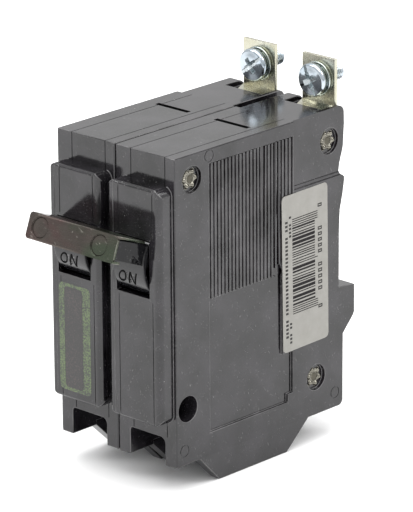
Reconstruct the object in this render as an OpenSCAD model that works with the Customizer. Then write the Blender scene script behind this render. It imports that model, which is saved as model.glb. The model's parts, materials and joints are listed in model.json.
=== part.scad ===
// Two-pole bolt-on thermal-magnetic circuit breaker with a handle tie.
// Drawn in a case frame: X across the poles, Y from the front face to the back, Z up from the
// bottom wall. in_frame() then moves the origin to the bottom centre of the whole object.

/* [Case] */
// Moulded width of one pole
pole_w = 25.1; // [24.8:0.1:25.3]
// Distance from one pole's centre to the next
pole_pitch = 25.4; // [25.4:0.1:26]
// Height of the case from bottom wall to top wall
case_h = 100.5; // [100:0.5:102]
// Depth of the wire-barrier flanges below the case
flange_h = 9.6; // [8:0.2:10]
// How far the handle escutcheon stands out of the front
escutcheon_out = 5.8; // [5.4:0.1:6]
// Depth of the recessed panel on the side of each base
panel_depth = 0.9; // [0.5:0.1:1.2]
// Number of grip ribs on the side panel
rib_count = 23; // [15:1:24]

/* [Handle] */
// Distance of the handle pivot behind the front face
handle_y = 4.5; // [4.3:0.1:4.7]
// Height of the handle pivot
handle_z = 66; // [65.8:0.1:66.2]
// Handle angle above horizontal when on
handle_tilt = 20.7; // [19:0.1:21]
// Radius of the round skirt that closes the handle slot
skirt_r = 12.5; // [12.3:0.1:12.5]
// Distance from the pivot to the front of the handle tie
tie_r = 25.6; // [25:0.1:27]
// Thickness of the handle-tie sheet
tie_t = 0.8; // [0.6:0.05:0.9]
// Height of the handle-tie face
tie_h = 8.5; // [8.3:0.1:9]

/* [Terminals] */
// Thickness of the copper straps
strap_t = 1.3; // [1.1:0.1:1.4]
// Width of the line tab
tab_w = 13.6; // [12.5:0.1:14]
// Height of the top edge of the line tab
tab_top = 115.3; // [114.5:0.1:117]
// Height of the line screw
line_z = 108; // [107.5:0.1:108.5]
// Radius of the line screw's threaded end
shank_r = 2.4; // [2.2:0.05:2.4]
// Radius of the line screw head
line_head_r = 5.4; // [5:0.1:5.6]
// Tip of the line screw behind the front face
line_tip_y = 86; // [84:0.5:88]
// Height of the load terminal screw
load_z = 6; // [5.6:0.1:6.2]

/* [Mechanism] */
// Radial clearance of every turning pin
pin_gap = 0.05; // [0.02:0.01:0.08]
// Gap left between the closed contacts
contact_gap = 0.15; // [0.1:0.05:0.3]
// Number of arc plates
plate_count = 6; // [4:1:6]

/* [Hidden] */
SIDES = ["left_", "right_"];
PIECES = ["cover", "base", "handle", "line_strap", "line_screw", "line_lock_washer", "line_washer",
    "fixed_contact", "contact_arm", "moving_contact", "cradle", "cradle_pin", "toggle_spring",
    "braid", "armature", "armature_pin", "bimetal", "magnet_yoke", "load_strap", "load_lug",
    "load_clamp", "load_screw", "arc_plates", "arc_frame", "calibration_screw"];

// a hair that keeps cutting faces apart
eps = 0.01;
// the half of the case each moulding takes: cover from 0 to split_x, base beyond it
split_x = 4.4;
cover_wall = 2.2;
base_in = pole_w - 2.8;
// middle of the mechanism across a pole
mid_x = 12.55;
left_x = -pole_pitch / 2 - pole_w / 2;
right_x = pole_pitch / 2 - pole_w / 2;
// Y of the middle of the whole object: tie edge at the front, line screw tip at the back
tie_low_y = handle_y - tie_r * cos(handle_tilt) - tie_h / 2 * sin(handle_tilt);
mid_y = (tie_low_y + line_tip_y) / 2;

// case features
slot_z = [handle_z - 10, handle_z + 8.6];
slot_x = [5.5, 19.6];
esc_x = [2.1, 23.9];
esc_z = [14.6, 91.3];
esc_wall_y = -3.4;
pocket_x = [5, 20.05];
chamber_y = 35;
chamber_z = 13.2;
tab_x = mid_x + 3 - tab_w / 2;
strap_floor = case_h - 1.8;
tab_y = 76;
// where the free end of the line screw's shank begins, just behind the tab
shank_free_y = tab_y + strap_t + 0.1;
// the neck that holds the washers captive under the head
neck_r = 2;
side_hole = [5.2, 18.45];
side_hole_r = 4.2;
rivets = [[7.6, 92.4], [71.4, 89.9], [64.6, 12.7]];
rivet_r = 1.6;
head_pocket_r = 4.3;
head_pocket = 1.4;
// the upper rear corner of the side, which steps in
step_at = [54, 79];
function in_step(p) = p[0] > step_at[0] && p[1] > step_at[1];

// mechanism points in the side plane (Y, Z)
pivot = [handle_y, handle_z];
trunnion_r = 2.5;
// the arm's stud hole in the handle, at the on position
arm_r = 14;
arm_at = pivot + arm_r * [cos(handle_tilt), -sin(handle_tilt)];
stud_r = 1.2;
cradle_at = [4, 45];
cradle_pin_r = 1.5;
hook_low = [10, 60];
hook_high = [33, 77];
// turns +Z onto the line from one hook to the other
spring_turn = atan2(hook_high[1] - hook_low[1], hook_high[0] - hook_low[0]) - 90;
contact_y = 44;
fixed_z = 84.2;
contact_t = 1.2;
contact_r = 3;
bar_at = [47, 53];
bar_r = 2;
// the trip bar passes through every wall but the two outer ones, which hold its ends
bar_hole_r = bar_r + pin_gap;
armature_at = [55, 22];
armature_pin_r = 0.8;
cal_z = 22;
arm_t = 2.2;
plate_pitch = 2.8;
first_plate_z = 67;
load_head_y = 13.2;
lug_y = [19, 34.2];
copper = [0.72, 0.45, 0.3];
plated = [0.78, 0.76, 0.66];
steel = [0.7, 0.71, 0.72];
phenolic = [0.13, 0.13, 0.14];

// ---- frames and profile helpers ----
module in_frame() { translate([0, -mid_y, flange_h]) children(); }
module left() { in_frame() translate([left_x, 0, 0]) children(); }
module right() { in_frame() translate([right_x, 0, 0]) children(); }

// extrudes a (Y, Z) outline along X
module along_x(x0, x1) {
    translate([x0, 0, 0]) rotate([90, 0, 90]) linear_extrude(x1 - x0) children();
}
// extrudes an (X, Z) outline along Y
module along_y(y0, y1) {
    translate([0, y1, 0]) rotate([90, 0, 0]) linear_extrude(y1 - y0) children();
}
module box(x, y, z) {
    translate([x[0], y[0], z[0]]) cube([x[1] - x[0], y[1] - y[0], z[1] - z[0]]);
}
// a round bar or bore along X at a point of the side plane
module bar(at, x, r) {
    translate([x[0], at[0], at[1]]) rotate([0, 90, 0]) cylinder(r = r, h = x[1] - x[0], $fn = 64);
}
// the same along Y
module bar_y(x, z, y, r) {
    translate([x, y[0], z]) rotate([-90, 0, 0]) cylinder(r = r, h = y[1] - y[0], $fn = 64);
}
module tube(at, x, r_out, r_in) {
    difference() { bar(at, x, r_out); bar(at, [x[0] - 1, x[1] + 1], r_in); }
}
module round_rect(x, z, r) {
    union() {
        translate([x[0] + r, z[0]]) square([x[1] - x[0] - 2 * r, z[1] - z[0]]);
        translate([x[0], z[0] + r]) square([x[1] - x[0], z[1] - z[0] - 2 * r]);
        for (u = [x[0] + r, x[1] - r]) for (v = [z[0] + r, z[1] - r])
            translate([u, v]) circle(r, $fn = 48);
    }
}
function unit(v) = v / norm(v);
function turned(v) = [-v[1], v[0]];
function side_point(p, i, d) =
    let (n = len(p),
        a = turned(unit(i > 0 ? p[i] - p[i - 1] : p[1] - p[0])),
        b = turned(unit(i < n - 1 ? p[i + 1] - p[i] : p[n - 1] - p[n - 2])),
        m = a + b)
    p[i] + d * 2 * m / (m * m);
// outline of a strip of thickness t along a centre line
function strip(p, t) = concat([for (i = [0:len(p) - 1]) side_point(p, i, t / 2)],
    [for (i = [len(p) - 1:-1:0]) side_point(p, i, -t / 2)]);
function arc(c, r, a0, a1, n = 6) =
    [for (i = [0:n]) let (a = a0 + (a1 - a0) * i / n) c + r * [cos(a), sin(a)]];

// turns a shape about the handle pivot so that its -Y end points along the handle
module on_handle() {
    translate([0, handle_y, handle_z]) rotate([-handle_tilt, 0, 0]) children();
}

// ---- case ----
// side outline of the case: top corner, stepped back, mounting foot, bottom corner
module case_outline() {
    polygon(concat([[0, 0], [0, case_h]],
        arc([76, case_h - 2.5], 2.5, 90, 0),
        [[78.6, 94.3], [78.1, 87], [77.4, 84.5], [76.2, 81.5], [75.8, 78.6], [77.8, 77],
         [77.9, 76], [77.05, 71.2], [75.85, 66.5], [75.5, 59.8], [75.5, 40.5], [83, 39.7],
         [83, 30.4], [82.4, 29.2], [77.6, 24.2]],
        arc([75.5, 2], 2, 0, -90)));
}
// side outline of a wire-barrier flange
module flange_outline() {
    polygon([[10.6, 1], [10.6, 0], [20.4, -flange_h], [51.9, -flange_h], [61, 0], [61, 1]]);
}
// flange whose outer face leans inward: x_out is the outer side, x_in the inner side
module flange(x_out, x_in, lean) {
    intersection() {
        along_x(min(x_out, x_in) - 1, max(x_out, x_in) + 1) flange_outline();
        along_y(5, 65) polygon([[x_out, 1], [x_out, 0], [x_out + lean, -flange_h - 1],
            [x_in, -flange_h - 1], [x_in, 1]]);
    }
}
// the raised handle escutcheon: rounded in the front view and at its front edges
module escutcheon(x0, x1) {
    intersection() {
        along_y(-escutcheon_out, 1) round_rect(esc_x, esc_z, 3);
        linear_extrude(case_h) polygon(concat([[esc_x[0], 1]], [[esc_x[1], 1]],
            arc([esc_x[1] - 2, -escutcheon_out + 2], 2, 0, -90),
            arc([esc_x[0] + 1.2, -escutcheon_out + 1.2], 1.2, -90, -180)));
        along_x(x0, x1) polygon(concat([[1, esc_z[0]], [1, esc_z[1]]],
            arc([1 - escutcheon_out, esc_z[1] - 1], 1, 90, 180),
            arc([1 - escutcheon_out, esc_z[0] + 1], 1, 180, 270)));
    }
}
// the hollow that holds the mechanism, less the corners that keep solid round the fasteners
module hollow(x0, x1) {
    difference() {
        along_x(x0, x1) polygon([[2.5, 15.6], [chamber_y + 2, 15.6], [chamber_y + 2, 2.5],
            [73, 2.5], [73, strap_floor - 1.5], [2.5, strap_floor - 1.5]]);
        for (p = rivets) bar(p, [x0 - 1, x1 + 1], 3.2);
        bar(side_hole, [x0 - 1, x1 + 1], side_hole_r + 1.4);
    }
}
// room for the round skirt behind the escutcheon face
module skirt_hollow(x0, x1) { box([x0, x1], [esc_wall_y, 3], [50, 82]); }
module load_chamber() {
    box(pocket_x, [2.5, chamber_y], [-1, chamber_z]);
    along_y(-1, 3) union() {
        translate([pocket_x[0], -1]) square([pocket_x[1] - pocket_x[0] - 2, 10]);
        translate([pocket_x[0], -1]) square([pocket_x[1] - pocket_x[0], 8]);
        translate([pocket_x[1] - 2, 7]) circle(2, $fn = 48);
    }
}
module fastener_holes(x0, x1) {
    for (p = rivets) bar(p, [x0 - 1, x1 + 1], rivet_r + pin_gap);
    bar(side_hole, [x0 - 1, x1 + 1], side_hole_r);
}
// the pocket above the case where the line strap leaves, and the slot it comes up through
module strap_room() {
    box([6.9, tab_x + tab_w + 0.3], [69.4, 90], [strap_floor, case_h + 5]);
    box([10.9, 22.3], [69.4, 71.1], [strap_floor - 5, case_h]);
}

// bearing bosses for the handle, the cradle and the armature
module bosses(x0, x1) {
    tube(pivot, [x0, x1], 4.2, trunnion_r + pin_gap);
    tube(cradle_at, [x0, x1], 3, cradle_pin_r + pin_gap);
    tube(armature_at, [x0, x1], 2.4, armature_pin_r + pin_gap);
}
module bearings(x0, x1) {
    bar(pivot, [x0, x1], trunnion_r + pin_gap);
    bar(cradle_at, [x0, x1], cradle_pin_r + pin_gap);
    bar(armature_at, [x0, x1], armature_pin_r + pin_gap);
}

module base_body() {
    difference() {
        union() {
            along_x(split_x, pole_w) case_outline();
            escutcheon(split_x, pole_w);
            flange(pole_w, pocket_x[1] + 0.3, -1.2);
        }
        hollow(split_x - 1, base_in);
        skirt_hollow(split_x - 1, 21.1);
        load_chamber();
        // notch that the root of the cover's flange fills
        box([split_x - 1, pocket_x[0]], [10.5, 61.1], [-1, 1.52]);
        // relief in the front wall for the cradle's hub
        box([mid_x - 1.2, mid_x + 1.2], [0.5, 3], [41, 49]);
        box(slot_x, [-10, 0], slot_z);
        // the slot's upper lip, hollowed behind to clear the skirt
        intersection() {
            bar(pivot, slot_x, skirt_r + 0.3);
            box(slot_x, [-10, 0], [handle_z, slot_z[1] + 3]);
        }
        // passage of the load strap out of the chamber
        box([7, 18.1], [30.5, 32.4], [chamber_z - 1, 17]);
        strap_room();
        side_panel();
        side_marks();
        // vent slit in the top wall
        box([5.2, 19.2], [38.8, 40.1], [case_h - 5, case_h + 1]);
        seam_lines();
        fastener_holes(split_x, pole_w);
        for (p = rivets)
            bar(p, [pole_w - head_pocket - (in_step(p) ? 0.65 : 0), pole_w + 1], head_pocket_r);
        bar_y(mid_x, cal_z, [70, 80], 2.1);
    }
    side_ribs();
    bosses(base_in - 1.9, base_in + 0.2);
}
module base_moulding() {
    difference() {
        base_body();
        bearings(base_in - 1.9, base_in);
        bar(bar_at, [base_in - 1, pole_w + 1], bar_hole_r);
    }
}

// recessed panel on the outer side, ending in ribs above
module side_panel() {
    difference() {
        box([pole_w - panel_depth, pole_w + 1], [15.3, 53.5], [7.9, 95.7]);
        box([pole_w - 2, pole_w + 1], [51.2, 54], [7, 10.6]);
        // land that backs the label's front edge below the ribs
        box([pole_w - 2, pole_w + 1], [48.9, 54], [24.6, 51.3]);
    }
    // step back of the upper rear corner, and the groove under it
    box([pole_w - 0.8, pole_w + 1], [step_at[0], 90], [step_at[1], case_h + 1]);
    box([pole_w - 0.5, pole_w + 1], [step_at[0], 90], [step_at[1] - 1.1, step_at[1] + 0.1]);
}
module side_ribs() {
    for (i = [0:rib_count - 1])
        box([pole_w - panel_depth - 0.2, pole_w - 0.15], [16.3, 17.1] + [1, 1] * i * 37.2 / rib_count,
            [51.6, 95.9]);
}
// shallow ejector marks
module side_marks() {
    for (p = [[64.6, 98.7 - 4], [15.3, 98.2], [3.5, 5], [75.6 - 2, 5.1]])
        tube(p, [pole_w - 0.15, pole_w + 1], 2, 1.75);
}
// fine seam lines that run over the front, the escutcheon and the top
module seam_lines() {
    for (x = [6.5, 20.9]) {
        box([x, x + 0.3], [-0.2, 0.25], [esc_z[1] - 1, case_h + 1]);
        box([x, x + 0.3], [-0.2, 0.25], [9.5, esc_z[0] + 1]);
        box([x, x + 0.3], [-0.2, 54], [case_h - 0.25, case_h + 1]);
        box([x, x + 0.3], [-escutcheon_out - 1, 0.25 - escutcheon_out], [esc_z[0], slot_z[0] - 1]);
        box([x, x + 0.3], [-escutcheon_out - 1, 0.25 - escutcheon_out], [slot_z[1] + 1, esc_z[1]]);
    }
}
module cover_body() {
    difference() {
        union() {
            along_x(0, split_x) case_outline();
            escutcheon(0, split_x);
            flange(0, 4.9, 1.2);
            box([split_x - 1, 4.9], [12, 60], [-0.01, 1.5]);
        }
        difference() {
            hollow(cover_wall, split_x + 1);
            box([0, split_x + 1], [step_at[0] - 1.4, 90], [step_at[1] - 1.4, case_h]);
        }
        skirt_hollow(4, split_x + 1);
        box([-1, cover_wall], [step_at[0], 90], [step_at[1], case_h + 1]);
        box([-1, 0.6], [15.3, 53.5], [7.9, 95.7]);
        fastener_holes(-1, split_x);
        for (p = rivets) bar(p, [-1, in_step(p) ? cover_wall + 1.2 : head_pocket], head_pocket_r);
        bar(bar_at, [-1, split_x], bar_hole_r);
    }
    bosses(cover_wall - 0.2, cover_wall + 1.9);
}
module cover_moulding() {
    difference() {
        cover_body();
        bearings(cover_wall, split_x + 1);
    }
}
// closes the trip-bar hole in an outer wall
module bar_plug(x0, x1) { bar(bar_at, [x0, x1], bar_hole_r + 0.5); }

module base() { color(phenolic) base_moulding(); }
module cover() { color(phenolic) cover_moulding(); }
module outer_base() {
    color(phenolic) union() { base_moulding(); bar_plug(pole_w - 1.8, pole_w - panel_depth); }
}
module outer_cover() {
    color(phenolic) union() { cover_moulding(); bar_plug(0.6, 1.6); }
}

// ---- handle and tie ----
grip_h = tie_h - 2 * tie_t - 0.2;
grip_x = [6.4, 18.7];
// middle of the tie's embosses across a pole
emboss_x = mid_x - 1;
skirt_x = [5.9, 19.3];
module skirt() {
    rotate([90, 0, 90]) translate([0, 0, skirt_x[0]]) difference() {
        linear_extrude(skirt_x[1] - skirt_x[0]) difference() {
            circle(skirt_r, $fn = 96);
            circle(skirt_r - 1.3, $fn = 96);
            polygon([[0, 0], 30 * [-cos(74), sin(74)], [-30, 60], [60, 60], [60, -60],
                [-30, -60], 30 * [-cos(74), -sin(74)]]);
        }
    }
}
module handle() {
    color(phenolic) difference() {
        union() {
            on_handle() skirt();
            on_handle() box(grip_x, [-tie_r + tie_t + 0.1, -3], [-grip_h / 2, grip_h / 2]);
            bar(pivot, skirt_x, 4.4);
            bar(pivot, [cover_wall + 0.3, base_in - 0.3], trunnion_r);
            for (x = [7.6, 15.9]) {
                on_handle() box([x, x + 1.6], [0, arm_r], [-2.5, 2.5]);
                bar(arm_at, [x, x + 1.6], 3);
            }
        }
        bar(arm_at, [0, 30], stud_r + pin_gap);
        // dimples that take the tie's embosses
        on_handle() bar_y(emboss_x, 0, [-tie_r, -tie_r + tie_t + 0.8], 3.3);
    }
}
module handle_tie() {
    color([0.3, 0.29, 0.24]) in_frame() on_handle() tie_channel();
}
module tie_channel() {
    x0 = left_x + grip_x[0] - 0.1;
    x1 = right_x + grip_x[1] + 0.1;
    difference() {
        union() {
            along_y(-tie_r, -tie_r + tie_t) round_rect([x0, x1], [-tie_h / 2, tie_h / 2], 1.2);
            box([x0 + 0.9, x1 - 0.1], [-tie_r + 0.1, -13.2], [tie_h / 2 - tie_t, tie_h / 2]);
            box([x0 + 0.9, x1 - 0.1], [-tie_r + 0.1, -tie_r + 3.4], [-tie_h / 2, tie_t - tie_h / 2]);
            for (p = [left_x, right_x])
                bar_y(p + emboss_x, 0, [-tie_r + tie_t - eps, -tie_r + tie_t + 0.4], 3.1);
        }
        for (p = [left_x, right_x]) bar_y(p + emboss_x, 0, [-tie_r - 1, -tie_r + 0.45], 3.5);
    }
}

// ---- line terminal ----
module line_strap() {
    path = [[tab_y + strap_t / 2, tab_top], [tab_y + strap_t / 2, strap_floor + strap_t / 2],
        [70.25, strap_floor + strap_t / 2], [70.25, 95.05], [52, 95.05],
        [52, fixed_z + contact_t + strap_t / 2], [38, fixed_z + contact_t + strap_t / 2]];
    color(plated) difference() {
        intersection() {
            along_x(0, 30) polygon(strip(path, strap_t));
            linear_extrude(200) union() {
                translate([tab_x, tab_y - 0.01]) square([tab_w, 5]);
                polygon([[12.1, 69], [21.9, 69], [tab_x + tab_w, tab_y], [tab_x, tab_y]]);
                translate([12.1, 60]) square([9.5, 9.1]);
                translate([mid_x - 4, 30]) square([8, 22.66]);
                translate([mid_x - 4, 50]) square([9, 10.1]);
            }
        }
        bar_y(mid_x + 3, line_z, [70, 80], shank_r + 0.3);
    }
}
module line_screw() {
    head_y = tab_y - 4.5;
    color(steel) difference() {
        union() {
            bar_y(mid_x + 3, line_z, [head_y, tab_y - 2.1], line_head_r);
            bar_y(mid_x + 3, line_z, [tab_y - 2.2, shank_free_y], neck_r);
            bar_y(mid_x + 3, line_z, [shank_free_y, line_tip_y], shank_r);
        }
        for (a = [20, 110]) translate([mid_x + 3, head_y, line_z]) rotate([0, a, 0])
            translate([-3.2, -1, -0.7]) cube([6.4, 2.3, 1.4]);
        translate([mid_x + 3, head_y, line_z]) rotate([0, 20, 0])
            translate([-6, -1, -0.6]) cube([12, 2, 1.2]);
    }
}
module washer_y(x, z, y, r_out, r_in) {
    difference() { bar_y(x, z, y, r_out); bar_y(x, z, [y[0] - 1, y[1] + 1], r_in); }
}
module line_lock_washer() {
    color(steel) difference() {
        washer_y(mid_x + 3, line_z, [tab_y - 2.08, tab_y - 1.02], 4.6, neck_r + 0.08);
        translate([mid_x + 3, tab_y - 1.5, line_z + 4]) rotate([0, 0, 25])
            cube([0.5, 4, 6], center = true);
    }
}
module line_washer() {
    color(steel) washer_y(mid_x + 3, line_z, [tab_y - 1, tab_y - 0.02], 5.6, neck_r + 0.08);
}

// ---- contacts and arm ----
module fixed_contact() {
    color("silver") translate([mid_x, contact_y, fixed_z + 0.01])
        cylinder(r = contact_r, h = contact_t - 0.02, $fn = 48);
}
arm_top = fixed_z - contact_gap - contact_t;
module contact_arm() {
    path = [arm_at, [37, arm_top - arm_t / 2], [contact_y + 4, arm_top - arm_t / 2]];
    color(copper) difference() {
        union() {
            intersection() {
                along_x(9.4, 15.7) polygon(strip(path, arm_t));
                box([0, 30], [arm_at[0], 60], [0, 100]);
            }
            bar(arm_at, [9.4, 15.7], 2);
            bar(arm_at, [7.7, 17.4], stud_r);
        }
        // the fork that the spring and the cradle work in
        box([10.6, 14.5], [0, 35.4], [50, 95]);
    }
    color(copper) bar(hook_high, [9.6, 15.5], 0.7);
}
module moving_contact() {
    color("silver") translate([mid_x, contact_y, arm_top + 0.01])
        cylinder(r = contact_r, h = contact_t - 0.02, $fn = 48);
}

// ---- trip mechanism ----
module cradle() {
    color(steel) difference() {
        union() {
            along_x(mid_x - 0.6, mid_x + 0.6) polygon([[1.4, 44], [3.5, 42.2], [44, 42.2], [52.4, 42.6],
                [52.4, 44.4], [44, 46.8], [16, 51], [12.4, 59.6], [10.9, 61.6], [9, 61.6],
                [8, 59.8], [8.3, 52.4], [2, 47.6]]);
            bar(cradle_at, [mid_x - 0.6, mid_x + 0.6], 3);
        }
        bar(cradle_at, [0, 30], cradle_pin_r + pin_gap);
        bar(hook_low, [0, 30], 0.8);
        // slot that the spring's lower wire leaves through
        translate([mid_x, hook_low[0], hook_low[1]]) rotate([spring_turn, 0, 0])
            translate([-1, -0.5, 0]) cube([2, 1, 4]);
    }
}
module cradle_pin() {
    color(steel) bar(cradle_at, [cover_wall + 0.2, base_in - 0.2], cradle_pin_r);
}
// close-wound tension spring with a straight hook wire at each end
module toggle_spring() {
    wire = 0.35;
    reach = hook_high - hook_low;
    coil_len = norm(reach) - 8;
    color(steel) translate([mid_x, hook_low[0], hook_low[1]])
        rotate([spring_turn, 0, 0])
        union() {
            translate([0, 0, 4]) rotate_extrude($fn = 48) for (i = [0:floor(coil_len / 0.68)])
                translate([1.3, i * 0.68]) circle(wire, $fn = 16);
            translate([0, 0, 3.7]) cylinder(r = 1.3, h = 0.4, $fn = 32);
            translate([0, 0, 4 + coil_len - 0.4]) cylinder(r = 1.3, h = 0.4, $fn = 32);
            translate([0, 0, 1.1]) cylinder(r = wire, h = 3, $fn = 16);
            translate([0, 0, 3.6 + coil_len]) cylinder(r = wire, h = 3.2, $fn = 16);
        }
}
module braid() {
    color(copper) along_x(16.7, 19.3) polygon(strip([[30.2, 71], [34, 66], [44, 60.5], [54, 57],
        [58.4, 53.8]], 2.4));
}
module armature() {
    color(steel) difference() {
        union() {
            box([mid_x - 4.9, mid_x + 4.9], [53, 54.2], [22, 47]);
            bar(armature_at, [mid_x - 3.5, mid_x + 3.5], 2);
        }
        bar(armature_at, [0, 30], armature_pin_r + pin_gap);
    }
}
module armature_pin() {
    color(steel) bar(armature_at, [cover_wall + 0.2, base_in - 0.2], armature_pin_r);
}
module bimetal() {
    color([0.75, 0.65, 0.4]) box([mid_x - 3.5, mid_x + 3.5], [58.4, 59.44], [19, 52.3]);
}
module magnet_yoke() {
    color(steel) difference() {
        box([mid_x - 6.5, mid_x + 6.5], [56.3, 62.4], [30.5, 43]);
        box([mid_x - 5, mid_x + 5], [50, 60.9], [20, 50]);
    }
}
module load_strap() {
    color(copper) along_x(mid_x - 4.1, mid_x + 4.1)
        polygon(strip([[31.45, 0.8], [31.45, 16.4], [60.1, 16.4], [60.1, 30]], strap_t));
}
module trip_bar() {
    color([0.35, 0.12, 0.1]) in_frame() union() {
        bar(bar_at, [left_x + 1.8, right_x + pole_w - 2], bar_r);
        for (p = [left_x, right_x]) translate([p, 0, 0]) box([mid_x - 3, mid_x + 3],
            [bar_at[0] - 0.8, bar_at[0] + 4.6], [bar_at[1] - 2.4, bar_at[1] - 0.9]);
    }
}
module calibration_screw() {
    color(steel) difference() {
        bar_y(mid_x, cal_z, [61, 74.5], 2.05);
        box([mid_x - 3, mid_x + 3], [73.5, 75], [cal_z - 0.4, cal_z + 0.4]);
    }
}

// ---- load terminal ----
module load_lug() {
    color(steel) difference() {
        box([mid_x - 6, mid_x + 6], lug_y, [0.6, 11.6]);
        box([mid_x - 4.4, mid_x + 4.4], [lug_y[0] + 2.2, 32.2], [0, 12]);
        bar_y(mid_x, load_z, [lug_y[0] - 1, lug_y[0] + 3], shank_r + pin_gap);
    }
}
module load_clamp() {
    color(steel) box([mid_x - 4.1, mid_x + 4.1], [24.6, 25.8], [1.2, 10.8]);
}
module load_screw() {
    color(steel) difference() {
        union() {
            bar_y(mid_x, load_z, [load_head_y, load_head_y + 2.6], 4);
            bar_y(mid_x, load_z, [load_head_y + 2.5, 24.5], shank_r);
        }
        box([mid_x - 5, mid_x + 5], [load_head_y - 1, load_head_y + 1.1],
            [load_z - 0.6, load_z + 0.6]);
    }
}

// ---- arc chamber ----
module arc_plates() {
    color(steel) for (i = [0:plate_count - 1]) difference() {
        box([5.05, 20.2], [46, 61], [first_plate_z, first_plate_z + 1] + [1, 1] * i * plate_pitch);
        box([mid_x - 4.5, mid_x + 4.5], [40, 57.3], [0, 100]);
    }
}
module arc_frame() {
    color([0.75, 0.72, 0.66]) difference() {
        box([split_x + 0.05, 20.9], [46, 62.2], [66, 83]);
        box([5, 20.25], [40, 61.1], [60, 90]);
    }
}

// ---- fasteners and label ----
module case_rivets() {
    color(steel) in_frame() for (p = rivets) {
        // heads sit deeper where the upper rear corner of the case steps in
        x0 = left_x + (in_step(p) ? cover_wall + 0.2 : 0.4);
        x1 = right_x + pole_w - (in_step(p) ? 1 : 0.35);
        difference() {
            union() {
                bar(p, [x0, x1], rivet_r);
                bar(p, [x0, x0 + 1], 3.4);
                bar(p, [x1 - 1.05, x1 - 0.5], 3.5);
                bar(p, [x1 - 0.6, x1], 1.9);
            }
            // the crimped end is split into petals
            for (a = [0:60:300]) translate([x1 - 1.2, p[0], p[1]]) rotate([a, 0, 0])
                translate([0, 2.2, -0.25]) cube([3, 3, 0.5]);
        }
    }
}
module rating_label() {
    color([0.93, 0.92, 0.88]) right() along_x(pole_w + 0.01, pole_w + 0.16)
        round_rect([48.5, 69.9], [25, 77.1], 1.5);
}

left() outer_cover();  // left_cover
left() base();  // left_base
left() handle();  // left_handle
left() line_strap();  // left_line_strap
left() line_screw();  // left_line_screw
left() line_lock_washer();  // left_line_lock_washer
left() line_washer();  // left_line_washer
left() fixed_contact();  // left_fixed_contact
left() contact_arm();  // left_contact_arm
left() moving_contact();  // left_moving_contact
left() cradle();  // left_cradle
left() cradle_pin();  // left_cradle_pin
left() toggle_spring();  // left_toggle_spring
left() braid();  // left_braid
left() armature();  // left_armature
left() armature_pin();  // left_armature_pin
left() bimetal();  // left_bimetal
left() magnet_yoke();  // left_magnet_yoke
left() load_strap();  // left_load_strap
left() load_lug();  // left_load_lug
left() load_clamp();  // left_load_clamp
left() load_screw();  // left_load_screw
left() arc_plates();  // left_arc_plates
left() arc_frame();  // left_arc_frame
left() calibration_screw();  // left_calibration_screw
right() cover();  // right_cover
right() outer_base();  // right_base
right() handle();  // right_handle
right() line_strap();  // right_line_strap
right() line_screw();  // right_line_screw
right() line_lock_washer();  // right_line_lock_washer
right() line_washer();  // right_line_washer
right() fixed_contact();  // right_fixed_contact
right() contact_arm();  // right_contact_arm
right() moving_contact();  // right_moving_contact
right() cradle();  // right_cradle
right() cradle_pin();  // right_cradle_pin
right() toggle_spring();  // right_toggle_spring
right() braid();  // right_braid
right() armature();  // right_armature
right() armature_pin();  // right_armature_pin
right() bimetal();  // right_bimetal
right() magnet_yoke();  // right_magnet_yoke
right() load_strap();  // right_load_strap
right() load_lug();  // right_load_lug
right() load_clamp();  // right_load_clamp
right() load_screw();  // right_load_screw
right() arc_plates();  // right_arc_plates
right() arc_frame();  // right_arc_frame
right() calibration_screw();  // right_calibration_screw
handle_tie();
trip_bar();
case_rivets();
rating_label();
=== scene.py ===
"""Visual model of a two-pole bolt-on circuit breaker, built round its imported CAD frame."""

import json
import math
import random

import bmesh
import bpy
from mathutils import Matrix, Vector

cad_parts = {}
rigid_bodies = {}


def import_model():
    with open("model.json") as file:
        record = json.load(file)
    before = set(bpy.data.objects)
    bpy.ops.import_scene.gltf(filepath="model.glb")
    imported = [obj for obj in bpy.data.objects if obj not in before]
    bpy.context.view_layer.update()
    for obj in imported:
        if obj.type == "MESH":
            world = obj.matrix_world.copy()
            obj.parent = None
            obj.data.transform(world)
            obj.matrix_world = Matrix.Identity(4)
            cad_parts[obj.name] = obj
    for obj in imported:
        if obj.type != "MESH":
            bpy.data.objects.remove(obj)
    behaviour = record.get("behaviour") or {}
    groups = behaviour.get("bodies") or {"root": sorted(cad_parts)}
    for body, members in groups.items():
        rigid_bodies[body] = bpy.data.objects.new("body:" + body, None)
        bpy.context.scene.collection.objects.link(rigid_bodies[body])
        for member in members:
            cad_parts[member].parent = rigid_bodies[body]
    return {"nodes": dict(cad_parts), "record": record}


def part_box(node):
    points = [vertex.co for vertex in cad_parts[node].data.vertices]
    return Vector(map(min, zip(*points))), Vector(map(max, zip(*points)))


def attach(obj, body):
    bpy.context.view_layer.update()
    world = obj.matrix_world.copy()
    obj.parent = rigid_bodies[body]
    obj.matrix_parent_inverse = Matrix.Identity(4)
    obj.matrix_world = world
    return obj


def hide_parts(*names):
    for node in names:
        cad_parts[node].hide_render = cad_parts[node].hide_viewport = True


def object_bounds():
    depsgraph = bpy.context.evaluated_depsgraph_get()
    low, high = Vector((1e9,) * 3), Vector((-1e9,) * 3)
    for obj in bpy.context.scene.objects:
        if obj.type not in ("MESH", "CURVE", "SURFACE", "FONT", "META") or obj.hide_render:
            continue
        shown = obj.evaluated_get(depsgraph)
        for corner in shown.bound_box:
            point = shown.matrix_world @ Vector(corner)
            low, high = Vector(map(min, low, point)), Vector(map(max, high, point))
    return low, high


for leftover in list(bpy.data.objects):
    bpy.data.objects.remove(leftover)
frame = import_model()
cad_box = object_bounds()

MM = 0.001
SIDES = ("left_", "right_")

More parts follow.
